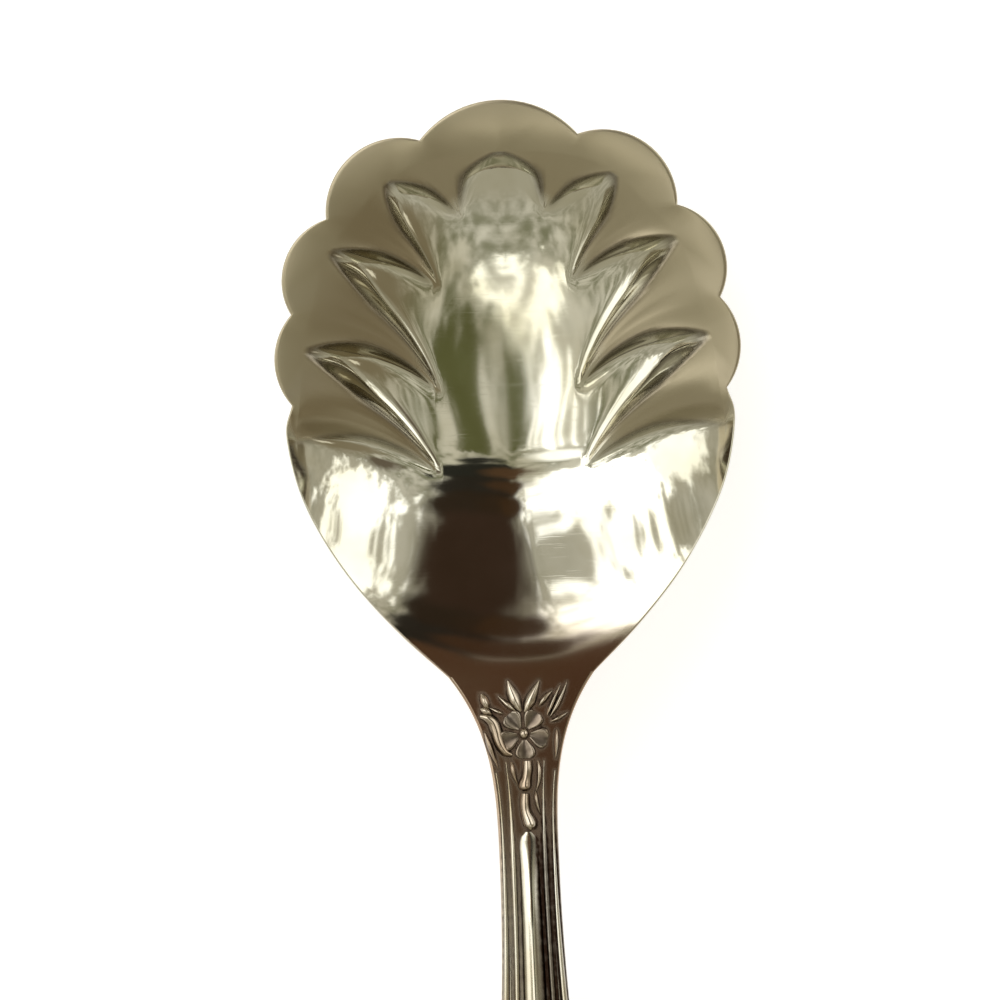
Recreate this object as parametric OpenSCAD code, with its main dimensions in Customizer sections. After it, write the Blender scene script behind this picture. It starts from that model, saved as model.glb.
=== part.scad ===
// Sugar spoon with a shell bowl and a floral, ribbed handle.
// The real spoon is one forging. Its regions are drawn here as solids that
// meet face to face: bowl, neck, stem and handle end, and the raised work
// that stands on their top faces.
// The spoon lies as on a table, bowl open upwards. +Y runs from the end of
// the handle to the tip of the bowl. The origin is on the table, under the
// middle of the spoon's length.

/* [Overall] */
// Length over all, from the tip of the bowl to the end of the handle
overall_len = 152; // [144:0.5:165]

/* [Bowl] */
// Length of the bowl, from its tip to the face where the neck starts
bowl_len = 51.5; // [48:0.5:56]
// Width of the bowl over its widest lobes
bowl_w = 41.9; // [38:0.1:46]
// Height of the rim above the table at the tip of the bowl
tip_rim_h = 8.2; // [7:0.1:10]
// Height of the upper face above the table where the neck starts
neck_h = 10; // [9:0.1:12]
// Thickness of the sheet, measured upright
sheet_t = 1.3; // [1:0.05:1.6]
// Depth of the flat that wear has ground under the bowl
wear_depth = 0.15; // [0.1:0.01:0.2]
// Rise of the flat flange between the flutes and the rim at the tip
flange_rise = 1.1; // [0.6:0.05:1.5]
// Height of the sharp crest on each ridge between two flutes
crest_h = 0.25; // [0.1:0.05:0.4]
// Radius of the rounded edge of the rim
rim_r = 0.3; // [0.2:0.05:0.4]
// Length over which the bowl thickens into the neck
heel_len = 14; // [10:0.5:18]
// Length over which the rim sweeps up into the neck
sweep_len = 22; // [18:0.5:26]

/* [Handle] */
// Width where the bowl passes into the neck
neck_w = 13.1; // [11.5:0.1:14.5]
// Width of the stem where it is narrowest
stem_w = 5.3; // [4.8:0.1:6.5]
// Distance from the start of the neck to the narrowest place
stem_pos = 17; // [15:0.5:20]
// Greatest width of the handle end
grip_w = 15; // [12:0.5:18]
// Length of the rounded end beyond the widest place
end_len = 12.5; // [10:0.5:16]
// Thickness where the neck starts
neck_t = 2.2; // [1.8:0.1:2.6]
// Thickness of the stem, where it is thickest
stem_t = 2.8; // [2.4:0.1:3.4]
// Thickness of the handle end
grip_t = 1.7; // [1.4:0.1:2.2]
// Length of the flat panel on the neck that carries the flower spray
panel_len = 16; // [15:0.5:18]
// Rise of that panel from the bowl towards the handle
panel_rise = 3.6; // [2.5:0.1:4.5]
// Height of the arched handle's top face above the table
arch_h = 17.5; // [16:0.5:20]
// Distance from the start of the neck to the top of the arch
arch_pos = 46; // [38:1:54]
// Distance from the start of the neck to the joint of stem and handle end
stem_end = 58; // [50:1:66]

/* [Relief] */
// Height of the rounded rib along the middle of the handle
rib_h = 0.75; // [0.5:0.05:1]
// Width of each side fillet
fillet_w = 0.55; // [0.4:0.05:0.7]
// Height of each side fillet
fillet_h = 0.45; // [0.3:0.05:0.6]
// Width of the thin line between fillet and border
line_w = 0.3; // [0.2:0.05:0.4]
// Height of that thin line
line_h = 0.22; // [0.15:0.01:0.3]
// Width of the raised border along the edge
border_w = 0.6; // [0.4:0.05:0.8]
// Height of the raised border
border_h = 0.35; // [0.2:0.05:0.5]
// Distance from the edge of the handle to the border
border_inset = 0.12; // [0.1:0.01:0.25]
// Distance from the start of the neck to where the two borders start
border_pos = 8.6; // [8:0.1:10]
// Diameter of the flower on the neck
flower_d = 3.9; // [3.4:0.1:4.2]
// Distance from the start of the neck to the middle of that flower
flower_pos = 5.2; // [5:0.1:5.8]
// Diameter of the flower on the handle end
end_flower_d = 5; // [4.4:0.1:5.4]
// Distance from the end of the handle to the middle of that flower
end_flower_pos = 11.5; // [11:0.5:13]
// Height of the petals and leaves above the handle's face
petal_h = 0.5; // [0.35:0.05:0.6]
// Height of the hanging drops above the handle's face
drop_h = 0.7; // [0.5:0.05:0.9]

/* [Hidden] */

handle_len = overall_len - bowl_len;
bowl_half = bowl_w / 2;
neck_half = neck_w / 2;
stem_half = stem_w / 2;
grip_half = grip_w / 2;
wide_pos = handle_len - end_len;
floor_h = sheet_t - wear_depth;
panel_slope = panel_rise / panel_len;
middle_y = (handle_len - bowl_len) / 2;
end_flower_at = handle_len - end_flower_pos;

// Small arithmetic, shared by every outline below
function mix(a, b, t) = a + (b - a) * t;
function limit(t) = min(1, max(0, t));
function ease(t) = let (c = limit(t)) c * c * (3 - 2 * c);
function hermite(a, b, slope_a, slope_b, t) =
    a * (2 * t * t * t - 3 * t * t + 1)
    + b * (3 * t * t - 2 * t * t * t)
    + slope_a * (t * t * t - 2 * t * t + t)
    + slope_b * (t * t * t - t * t);

// Two triangles over four corners, split from the first corner or the second
function quad(a, b, c, d, first) = first ? [[a, b, c], [a, c, d]] : [[b, c, d], [b, d, a]];

// A smooth curve through keys of the form [place, value], at one place.
// The value may be a number or a point.
function key_slope(keys, i) =
    let (a = max(0, i - 1), b = min(len(keys) - 1, i + 1))
    (keys[b][1] - keys[a][1]) / (keys[b][0] - keys[a][0]);
function key_before(keys, t, i = 0) =
    i >= len(keys) - 2 || keys[i + 1][0] > t ? i : key_before(keys, t, i + 1);
function curve(keys, t) =
    let (i = key_before(keys, t), span = keys[i + 1][0] - keys[i][0])
    hermite(keys[i][1], keys[i + 1][1],
        key_slope(keys, i) * span, key_slope(keys, i + 1) * span,
        (t - keys[i][0]) / span);

// The bowl is drawn on lines that fan out from its axis to its rim. A line
// is named by its place: 0 is the tip, 0.5, 1.5, 2.5 and 3.5 are the
// notches between the lobes, 1, 2 and 3 are the middles of the side lobes
// and neck_line_index is the face where the neck starts. Points are shares of
// half the bowl's width and of the bowl's length, measured from the neck.
neck_line_index = 6;
notch_share = [[0.339, 0.935], [0.754, 0.804], [0.921, 0.64], [0.933, 0.4825]];
lobe_bulge_share = [0, 0.263, 0.24, 0.189];
flank_share = [
    [3.5, notch_share[3]],
    [3.9, [0.964, 0.43]],
    [4.3, [0.921, 0.335]],
    [4.7, [0.83, 0.25]],
    [5.1, [0.69, 0.161]],
    [5.5, [0.508, 0.0755]],
    [6, [neck_w / bowl_w, 0]]
];
// Where each line leaves the axis of the bowl
axis_share = [
    [0, 0.67], [0.5, 0.658], [1.5, 0.598], [2.5, 0.416], [3.5, 0.276], [6, 0]
];
// Where the ridges run out in the bowl
ridge_tip_share = [
    [0, [0, 0.827]],
    [0.5, [0.184, 0.812]],
    [1.5, [0.294, 0.69]],
    [2.5, [0.308, 0.504]],
    [3.5, [0.327, 0.361]],
    [4.4, [0.33, 0.25]],
    [5.2, [0.27, 0.11]],
    [6, [0.16, 0]]
];
// Where the flutes end and the flange starts
flute_end_share = [
    [0, [0, 0.911]],
    [0.5, [0.3, 0.899]],
    [1, [0.492, 0.864]],
    [1.5, [0.645, 0.798]],
    [2, [0.749, 0.746]],
    [2.5, [0.828, 0.648]],
    [3, [0.869, 0.575]],
    [3.5, [0.899, 0.478]],
    [4, [0.918, 0.412]],
    [4.3, [0.882, 0.34]],
    [4.7, [0.794, 0.258]],
    [5.1, [0.657, 0.171]],
    [5.5, [0.478, 0.087]],
    [6, [0.87 * neck_w / bowl_w, 0]]
];

function in_bowl(share) = [share[0] * bowl_half, share[1] * bowl_len];

// A point on the arc that bulges out from a straight line between two points
function arc_point(a, b, bulge, t) =
    let (
        chord = norm(b - a),
        along = (b - a) / chord,
        out = [-along[1], along[0]],
        radius = (chord * chord / 4 + bulge * bulge) / (2 * bulge),
        half_angle = asin(chord / 2 / radius),
        angle = mix(-half_angle, half_angle, t)
    )
    (a + b) / 2 + along * radius * sin(angle)
        + out * (radius * cos(angle) - radius + bulge);

function notch(i) = in_bowl(notch_share[i]);
function tip_notch(side) = [side * notch(0)[0], notch(0)[1]];
function rim_point(place) =
    let (lobe = floor(place + 0.5))
    place >= 3.5 ? in_bowl(curve(flank_share, place))
    : lobe == 0
        ? arc_point(tip_notch(-1), tip_notch(1), bowl_len - notch(0)[1], place + 0.5)
        : let (a = notch(lobe - 1), b = notch(lobe))
          arc_point(a, b, lobe_bulge_share[lobe] * norm(b - a), place + 0.5 - lobe);
function axis_point(place) = [0, curve(axis_share, place) * bowl_len];
function ridge_tip(place) = in_bowl(curve(ridge_tip_share, place));
function flute_end(place) = in_bowl(curve(flute_end_share, place));

// The lines bend a little towards the tip between ridge tips and flute ends
bend_share = [[0, 0], [0.5, 0.03], [1.5, 0.08], [2.5, 0.11], [3.5, 0.1], [4.5, 0.04], [6, 0]];
function ray_point(place, t) =
    let (a = ridge_tip(place), b = flute_end(place), bend = 4 * t * (1 - t) * curve(bend_share, place))
    mix(a, b, t) + [a[1] - b[1], b[0] - a[0]] * bend;

// The smooth hollow under the flutes: an oval about its deepest place, with
// its own reach and its own flatness for each direction from the tip. Towards
// the neck its floor climbs as a ramp of its own.
hollow_place_share = 0.39;
hollow_reach_share = [
    [0, 1.04], [20, 1.065], [40, 1.04], [60, 0.97], [80, 0.92], [90, 0.93], [110, 0.855],
    [125, 0.81], [145, 0.8], [158, 0.84], [170, 0.94], [180, 0.97]
];
hollow_flat_share = [[0, 0.75], [50, 0.65], [90, 0.5], [180, 0.5]];

// The rim sweeps up into the neck at the slope of the neck's own face
function rim_h(v) = hermite(neck_h, tip_rim_h, -panel_slope * sweep_len, 0, limit(v / sweep_len));
function hollow_edge_h(v) = rim_h(v) - flange_rise * ease((v / bowl_len - 0.3) / 0.5);
function wall_curve(r, flat) = mix(r * r, pow(r, 5), flat);
function hollow_h(p) =
    let (
        across = p[0] / bowl_half,
        along = (p[1] / bowl_len - hollow_place_share) * 2,
        angle = atan2(abs(across), along),
        r = norm([across, along]) / curve(hollow_reach_share, angle),
        wall = wall_curve(r, curve(hollow_flat_share, angle)),
        climb = ease(-along / 2 / hollow_place_share)
    )
    mix(floor_h, hollow_edge_h(p[1]), mix(wall, 1, climb));

// A flute is a rounded arch in plan: its half width, as a share of its lobe,
// shrinks from its inner end to its outer end. A line keeps its place between
// the middle of the lobe and the crest of the ridge, so lines run along the
// edges of the flutes.
flute_inner_share = 0.96;
flute_outer_share = 0.18;
flute_edge_share = 0.7;
flute_end_power = 1.6;
function flute_half(t) =
    sqrt(mix(pow(flute_inner_share, 2), pow(flute_outer_share, 2), pow(t, flute_end_power)));
function off_middle(place) = place > 4 ? 0 : abs(place - round(place)) * 2;
function side_at(off, t) =
    let (half = flute_half(t))
    off < flute_edge_share
        ? off / flute_edge_share * half
        : mix(half, 1, (off - flute_edge_share) / (1 - flute_edge_share));
function place_at(place, row) =
    let (
        off = off_middle(place),
        side = row < 1 ? mix(off, side_at(off, 0), row)
            : row < 2 ? side_at(off, row - 1)
            : mix(side_at(off, 1), off, row - 2)
    )
    place > 4 ? place : round(place) + sign(place - round(place)) * side / 2;

// The ridges and the flange are one smooth surface that climbs from the ridge
// tips to the rim and levels out on the way: from share 0 to share 1. It meets
// the hollow at the ends of the flutes.
function end_place(place) =
    let (to_end = norm(flute_end(place) - ridge_tip(place)))
    to_end / (to_end + norm(rim_point(place) - flute_end(place)));
function flange_h(place, share) =
    curve([
        [0, hollow_h(ridge_tip(place))],
        [end_place(place), hollow_h(flute_end(place))],
        [1, rim_h(rim_point(place)[1])]
    ], share);

// Heights over the flutes, where t runs from the ridge tips to the flute
// ends, and over the flange, where it runs on to the rim
function crest(off) = crest_h * limit((off - flute_edge_share) / (1 - flute_edge_share));
function fluted_h(place, off, t, p) =
    let (scoop = pow(1 - pow(limit(off / flute_edge_share), 2), 0.8))
    mix(flange_h(place, t * end_place(place)) + crest(off) * sqrt(t), hollow_h(p), scoop);
function outer_h(place, off, t) =
    flange_h(place, mix(end_place(place), 1, t)) + crest(off) * (1 - t);

// One point of the bowl's upper face. Row 0 is the axis, row 1 the line of
// the ridge tips, row 2 the ends of the flutes and row 3 the rim.
function bowl_point(column, row) =
    let (
        place = place_at(column, row),
        off = off_middle(column),
        rim = rim_point(place),
        end = flute_end(place),
        edge = rim - (rim - end) / norm(rim - end) * rim_r,
        p = row < 1 ? mix(axis_point(place), ridge_tip(place), row)
            : row < 2 ? ray_point(place, row - 1)
            : mix(end, edge, row - 2),
        h = row < 1 ? hollow_h(p)
            : row < 2 ? fluted_h(place, off, row - 1, p)
            : outer_h(place, off, row - 2)
    )
    [p[0], p[1], h];

// Cross-section of the handle: half of the outline, as shares of half the
// width and of the thickness, from the edge of the top face to the middle
// of the underside
section_share = [
    [0.94, 0], [1, -0.16], [0.965, -0.4], [0.85, -0.66], [0.64, -0.86],
    [0.34, -0.97], [0, -1]
];
function section_depth(x, i = 1) =
    let (a = section_share[i], b = section_share[i + 1])
    i >= len(section_share) - 2 || x >= b[0]
        ? -mix(a[1], b[1], limit((a[0] - x) / (a[0] - b[0])))
        : section_depth(x, i + 1);

// Thickness of the bowl, which swells into the neck's own section
function bowl_t(p, rim) =
    mix(sheet_t, neck_t * section_depth(p[0] / rim[0]), ease(1 - p[1] / heel_len));

// A line of the bowl as a closed run of points: the upper face from the axis
// outwards, the middle of the rim's edge, and the lower face back to the axis
bowl_rows = [0, 0.35, 0.7, 1, 1.12, 1.25, 1.4, 1.55, 1.7, 1.83, 1.93, 2, 2.4, 3];
function bowl_line(place) =
    let (
        rim = rim_point(place_at(place, 3)),
        upper = [for (row = bowl_rows) bowl_point(place, row)],
        edge = upper[len(upper) - 1],
        lower = [
            for (i = [len(upper) - 1 : -1 : 0])
            let (p = upper[i], t = place == 0 ? sheet_t : bowl_t(p, rim))
            [p[0], p[1], max(0, p[2] - t)]
        ],
        middle = [rim[0], rim[1], (edge[2] + lower[0][2]) / 2]
    )
    concat(upper, [middle], lower);

// Columns of the bowl's skin: over half a lobe, from its middle to the crest
// of the ridge, and the same back to the next middle, then down the flank
column_share = [0, 0.25, 0.5, 0.62, 0.7, 0.86, 1];
flank_steps = 11;
bowl_places = concat(
    [
        for (lobe = [0 : 3], back = [false, true], i = [0 : 5])
        back ? lobe + 1 - column_share[6 - i] / 2 : lobe + column_share[i] / 2
    ],
    [for (i = [0 : flank_steps]) mix(4, neck_line_index, i / flank_steps)]
);

module bowl_shell() {
    lines = [for (place = bowl_places) bowl_line(place)];
    last = len(lines) - 1;
    run = len(lines[0]);
    left_start = (last + 1) * run;
    right_points = [for (line = lines, p = line) p];
    left_points = [
        for (j = [1 : last], k = [1 : run - 2])
        let (p = lines[j][k])
        [-p[0], p[1], p[2]]
    ];
    function right(j, k) = j * run + k;
    function left(j, k) =
        j == 0 || k == 0 || k == run - 1
            ? right(j, k)
            : left_start + (j - 1) * (run - 2) + k - 1;
    half_run = (run - 1) / 2;
    sides = [
        for (j = [0 : last - 1], k = [0 : run - 2])
        let (upper = k < half_run)
        each concat(
            quad(right(j, k), right(j, k + 1), right(j + 1, k + 1), right(j + 1, k), upper),
            quad(left(j, k), left(j + 1, k), left(j + 1, k + 1), left(j, k + 1), upper)
        )
    ];
    neck_face = [
        for (k = [0 : half_run - 2])
        let (under = run - 1 - k)
        each concat(
            quad(right(last, k), right(last, k + 1),
                right(last, under - 1), right(last, under), true),
            quad(left(last, k), left(last, under),
                left(last, under - 1), left(last, k + 1), true)
        )
    ];
    neck_corners = [
        [right(last, half_run - 1), right(last, half_run), right(last, half_run + 1)],
        [left(last, half_run - 1), left(last, half_run + 1), left(last, half_run)]
    ];
    polyhedron(concat(right_points, left_points), concat(sides, neck_face, neck_corners));
}

// The handle, named by the distance from the start of the neck. Its end is
// a half oval, cut just short of its tip.
end_cut_share = 0.999;
end_steps = 9;
end_places = [
    for (i = [1 : end_steps])
    wide_pos + end_len * sin(asin(end_cut_share) * i / end_steps) / end_cut_share
];
function half_width(d) =
    d > wide_pos ? grip_half * sqrt(1 - pow(end_cut_share * (d - wide_pos) / end_len, 2))
    : stem_half
        + (neck_half - stem_half) * pow(limit(1 - d / stem_pos), 3.3)
        + (grip_half - stem_half) * ease((d - stem_pos) / (wide_pos - stem_pos));
end_slope_share = -0.2;
function face_h(d) =
    let (rise_len = arch_pos - panel_len, fall_len = handle_len - arch_pos)
    d <= panel_len ? neck_h + panel_slope * d
    : d <= arch_pos
        ? hermite(neck_h + panel_rise, arch_h, panel_slope * rise_len, 0,
            (d - panel_len) / rise_len)
        : hermite(arch_h, grip_t, 0, end_slope_share * fall_len, (d - arch_pos) / fall_len);
function thickness(d) =
    d < stem_pos ? mix(neck_t, stem_t, ease(d / stem_pos))
    : mix(stem_t, grip_t, ease((d - stem_pos) / (wide_pos - stem_pos)));

function handle_section(d) =
    let (
        w = half_width(d),
        t = thickness(d),
        right = [for (s = section_share) [s[0] * w, -d, face_h(d) + s[1] * t]],
        left = [
            for (i = [len(right) - 2 : -1 : 0])
            [-right[i][0], -d, right[i][2]]
        ]
    )
    concat(right, left);

// Skin over a row of closed sections with equally many points each
module loft(sections) {
    n = len(sections[0]);
    last = len(sections) - 1;
    sides = [
        for (i = [0 : last - 1], j = [0 : n - 1])
        let (a = i * n + j, b = i * n + (j + 1) % n)
        each quad(a, b, b + n, a + n, true)
    ];
    start = [for (j = [1 : n - 2]) [0, j + 1, j]];
    end = [for (j = [1 : n - 2]) [last * n, last * n + j, last * n + j + 1]];
    polyhedron([for (s = sections, p = s) p], concat(sides, start, end));
}
module handle_part(places) {
    loft([for (d = places) handle_section(d)]);
}
function steps(a, b, n) = [for (i = [0 : n]) mix(a, b, i / n)];

// Raised work. A strip follows a path on the handle's top face, given as
// points of [across, distance]. Its section is a list of [across, height]
// shares, from one foot to the other.
round_section = [[-1, 0], [-0.78, 0.62], [0, 1], [0.78, 0.62], [1, 0]];
leaf_section = [[-1, 0], [-0.5, 0.4], [0, 1], [0.5, 0.4], [1, 0]];
petal_section = [[-1, 0], [-0.72, 1], [0, 0.5], [0.72, 1], [1, 0]];

function strip_ring(path, i, w, h, section) =
    let (
        a = path[max(0, i - 1)],
        b = path[min(len(path) - 1, i + 1)],
        out = [b[1] - a[1], a[0] - b[0]] / norm(b - a)
    )
    [
        for (s = section)
        let (q = path[i] + out * s[0] * w)
        [q[0], -q[1], face_h(q[1]) + s[1] * h]
    ];
module strip(path, widths, heights, section) {
    loft([
        for (i = [0 : len(path) - 1])
        strip_ring(path, i, widths[i] / 2, heights[i], section)
    ]);
}

// Both halves of something drawn on the right
module both_sides() {
    children();
    mirror([1, 0, 0]) children();
}

// Long ribs, fillets and lines
rib_half_share = 0.35;
fillet_place_share = 0.53;
fillet_start_share = 1.25;
line_place_share = 0.72;
line_start_share = 0.22;
rib_foot_share = 0.9;
rib_steps = 24;
function run_out(t) = 0.15 + 0.85 * ease(t * 8) * ease((1 - t) * 8);
module long_strip(from, to, place_share, width, height, n) {
    places = steps(from, to, n);
    strip(
        [for (d = places) [place_share * half_width(d), d]],
        [for (i = [0 : n]) width * run_out(i / n)],
        [for (i = [0 : n]) height * run_out(i / n)],
        round_section
    );
}

// Ornament, drawn once in shares of the flower's radius. The first number
// of a point runs across, the second away from the flower's middle, towards
// the plain side of the handle.
petal_count = 5;
petal_turn = 32;
boss_share = 0.22;
petal_share = [
    [0.3, 0.2, 0.35], [0.45, 0.5, 0.75], [0.62, 0.68, 0.95], [0.8, 0.68, 1],
    [0.93, 0.5, 0.85], [1, 0.24, 0.5]
];
leaf_width_share = [0.3, 0.8, 1, 0.86, 0.55, 0.12];
leaf_height_share = [0.5, 0.9, 1, 0.85, 0.6, 0.25];
// Each leaf: its foot, its middle, its tip and its width
leaf_share = [
    [[-0.1, -1.16], [-0.5, -1.8], [-0.57, -2.5], 0.52],
    [[0.28, -1.2], [0.42, -1.75], [0.78, -2.4], 0.5],
    [[-0.5, -1.12], [-0.72, -1.36], [-1.02, -1.66], 0.24],
    [[-0.92, -0.94], [-1.2, -1.03], [-1.56, -1.26], 0.2],
    [[0.78, -1.28], [1.02, -1.6], [1.34, -1.86], 0.26],
    [[1.14, -0.84], [1.42, -1.42], [1.74, -2.1], 0.18],
    [[1.34, -0.74], [1.76, -1.46], [2.08, -2.22], 0.22],
    [[1.24, -0.5], [1.66, -0.66], [2.04, -0.88], 0.18],
    [[-1.62, -0.1], [-1.45, 0.6], [-1.24, 1.4], 0.26],
    [[1.5, -0.12], [1.48, 0.5], [1.42, 1.16], 0.2]
];
// The rolled leaf that hugs the flower, as a path with its widths
scroll_share = [
    [[-1.88, -0.84], 0.2], [[-1.64, -0.76], 0.32], [[-1.4, -0.55], 0.36],
    [[-1.27, -0.2], 0.34], [[-1.2, 0.2], 0.34], [[-1.12, 0.58], 0.36],
    [[-0.93, 0.88], 0.32], [[-0.7, 1.04], 0.18]
];
// The two buds above it
bud_share = [
    [[[-1.86, -1.86], 0.12], [[-1.77, -1.63], 0.28], [[-1.68, -1.42], 0.2]],
    [[[-1.92, -1.2], 0.14], [[-1.79, -1.13], 0.3], [[-1.66, -1.08], 0.16]]
];
// The hanging drops, as paths with their widths
drop_share = [
    [
        [[0.06, 1.24], 0.36], [[0.06, 1.6], 0.44], [[0.05, 1.95], 0.48],
        [[0.04, 2.24], 0.58], [[0.04, 2.42], 0.52], [[0.04, 2.54], 0.28]
    ],
    [
        [[-0.02, 2.64], 0.34], [[-0.02, 3.05], 0.4], [[0, 3.5], 0.46],
        [[0.04, 3.9], 0.58], [[0.06, 4.14], 0.56], [[0.07, 4.3], 0.28]
    ]
];
drop_leaf_share = [
    [[-0.62, 1.28], [-0.58, 1.72], [-0.4, 2.2], 0.2],
    [[0.58, 1.24], [0.7, 1.9], [0.44, 2.5], 0.2],
    [[0.42, 2.6], [0.4, 3.1], [0.56, 3.5], 0.16]
];

// A share of the flower's radius, as a point on the handle. Turned is -1 for
// the spray on the handle end, whose drops hang towards the bowl.
function on_face(share, at, radius, turned) =
    [share[0] * radius, at + turned * share[1] * radius];
function turned_path(points, turned) =
    turned > 0 ? points : [for (p = points) [-p[0], p[1]]];

module leaf(leaf, at, radius, turned) {
    ends = [for (i = [0 : 2]) on_face(leaf[i], at, radius, turned)];
    n = len(leaf_width_share) - 1;
    path = [
        for (i = [0 : n])
        let (t = i / n)
        ends[0] * (1 - t) * (1 - t) + ends[1] * 2 * t * (1 - t) + ends[2] * t * t
    ];
    strip(path, leaf_width_share * leaf[3] * radius, leaf_height_share * petal_h, leaf_section);
}
module vein(points, height, at, radius, turned) {
    strip(
        [for (p = points) on_face(p[0], at, radius, turned)],
        [for (p = points) p[1] * radius],
        [for (p = points) height * limit(p[1] / points[len(points) - 2][1])],
        round_section
    );
}
module flower(at, radius, turned) {
    for (i = [0 : petal_count - 1]) {
        angle = petal_turn + i * 360 / petal_count;
        strip(
            [
                for (p = petal_share)
                on_face([sin(angle), -cos(angle)] * p[0], at, radius, turned)
            ],
            [for (p = petal_share) p[1] * radius],
            [for (p = petal_share) p[2] * petal_h],
            petal_section
        );
    }
    boss = boss_share * radius;
    strip(
        [for (s = [-1, -0.6, 0, 0.6, 1]) [0, at + s * boss]],
        [for (s = [0.3, 0.8, 1, 0.8, 0.3]) 2 * s * boss],
        [for (s = [0.3, 0.8, 1, 0.8, 0.3]) s * petal_h],
        round_section
    );
}
module leaves(at, radius, turned) {
    for (l = leaf_share) leaf(l, at, radius, turned);
    vein(scroll_share, petal_h, at, radius, turned);
    for (b = bud_share) vein(b, petal_h, at, radius, turned);
}
module drops(at, radius, turned) {
    for (d = drop_share) vein(d, drop_h, at, radius, turned);
    for (l = drop_leaf_share) leaf(l, at, radius, turned);
}

// Moves the drawing, whose zero is the start of the neck, to the middle
module placed() {
    translate([0, middle_y, 0]) children();
}

rib_start = flower_pos + drop_share[1][5][0][1] * flower_d / 2 + rib_h / 4;
rib_end = end_flower_at - drop_share[1][5][0][1] * end_flower_d / 2 - rib_h / 4;
fillet_start = flower_pos + fillet_start_share * flower_d / 2;
fillet_end = end_flower_at - fillet_start_share * end_flower_d / 2;
line_start = mix(stem_pos, arch_pos, line_start_share);

module bowl() {
    color("gainsboro") placed() bowl_shell();
}
module neck() {
    color("silver") placed() handle_part(steps(0, panel_len, 16));
}
module stem() {
    color("silver") placed() handle_part(steps(panel_len, stem_end, 14));
}
module handle_end() {
    color("silver") placed() handle_part(concat(steps(stem_end, wide_pos, 10), end_places));
}
module centre_rib() {
    color("wheat") placed() strip(
        [for (d = steps(rib_start, rib_end, rib_steps)) [0, d]],
        [
            for (i = [0 : rib_steps])
            let (d = mix(rib_start, rib_end, i / rib_steps))
            2 * rib_half_share * half_width(d)
                * mix(rib_foot_share, 1, ease(8 * i / rib_steps)) * run_out(0.5 + i / rib_steps / 2)
        ],
        [for (i = [0 : rib_steps]) rib_h * run_out(i / rib_steps)],
        round_section
    );
}
module side_fillets() {
    color("wheat") placed() both_sides()
        long_strip(fillet_start, fillet_end, fillet_place_share, fillet_w, fillet_h, rib_steps);
}
module fine_lines() {
    color("tan") placed() both_sides()
        long_strip(line_start, fillet_end, line_place_share, line_w, line_h, rib_steps);
}
module border() {
    inset = border_inset + border_w / 2;
    places = concat(
        [for (i = [0 : 4]) mix(border_pos, stem_pos, i / 5)],
        steps(stem_pos, wide_pos, 18),
        end_places
    );
    last = len(places) - 1;
    right_side = [
        for (i = [0 : last - 1])
        let (
            a = [half_width(places[max(0, i - 1)]), places[max(0, i - 1)]],
            b = [half_width(places[i + 1]), places[i + 1]],
            out = [b[1] - a[1], a[0] - b[0]] / norm(b - a)
        )
        [half_width(places[i]), places[i]] - out * inset
    ];
    path = concat(
        right_side,
        [[0, handle_len - inset]],
        [for (i = [last - 1 : -1 : 0]) [-right_side[i][0], right_side[i][1]]]
    );
    n = len(path) - 1;
    color("wheat") placed() strip(
        path,
        [for (i = [0 : n]) border_w * run_out(i / n)],
        [for (i = [0 : n]) border_h * run_out(i / n)],
        round_section
    );
}
module neck_flower() {
    color("wheat") placed() flower(flower_pos, flower_d / 2, 1);
}
module neck_leaves() {
    color("burlywood") placed() leaves(flower_pos, flower_d / 2, 1);
}
module neck_drops() {
    color("wheat") placed() drops(flower_pos, flower_d / 2, 1);
}
module end_flower() {
    color("wheat") placed() flower(end_flower_at, end_flower_d / 2, -1);
}
module end_leaves() {
    color("burlywood") placed() leaves(end_flower_at, end_flower_d / 2, -1);
}
module end_drops() {
    color("wheat") placed() drops(end_flower_at, end_flower_d / 2, -1);
}

bowl();
neck();
stem();
handle_end();
centre_rib();
side_fillets();
fine_lines();
border();
neck_flower();
neck_leaves();
neck_drops();
end_flower();
end_leaves();
end_drops();
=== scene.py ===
# %% [markdown]
# A silver-plated sugar spoon: a thin shell bowl with pressed flutes, an arched
# handle, and relief that the die strikes into the handle's face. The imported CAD
# model comes in first as a fixed frame. Every piece below takes its place from
# that frame, so nothing has to be fitted afterwards.

# %% Load the frame
import math

import bmesh
import bpy
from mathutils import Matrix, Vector
from mathutils.kdtree import KDTree


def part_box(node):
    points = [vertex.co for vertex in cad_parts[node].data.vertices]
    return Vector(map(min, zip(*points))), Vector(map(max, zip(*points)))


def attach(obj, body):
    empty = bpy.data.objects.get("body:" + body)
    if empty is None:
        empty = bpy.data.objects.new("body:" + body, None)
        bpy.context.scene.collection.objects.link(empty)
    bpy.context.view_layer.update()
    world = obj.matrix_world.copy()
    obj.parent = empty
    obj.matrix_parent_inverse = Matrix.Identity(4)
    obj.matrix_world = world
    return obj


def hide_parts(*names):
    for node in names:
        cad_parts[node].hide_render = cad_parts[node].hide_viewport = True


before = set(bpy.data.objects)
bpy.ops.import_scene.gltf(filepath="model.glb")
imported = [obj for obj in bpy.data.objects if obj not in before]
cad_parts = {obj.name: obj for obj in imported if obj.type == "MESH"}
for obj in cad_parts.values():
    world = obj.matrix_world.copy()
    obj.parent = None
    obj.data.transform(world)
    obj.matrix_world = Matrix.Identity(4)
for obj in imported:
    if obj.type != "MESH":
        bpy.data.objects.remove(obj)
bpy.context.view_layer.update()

# %% [markdown]
# All sizes are worked out in millimetres and turned to metres at the end. The
# main lengths are read from the frame's boxes. The rest are sizes of the sheet
# and of the relief, in the same words as in the part's own source.

# %% Sizes of the spoon, in millimetres
MM = 0.001


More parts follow.
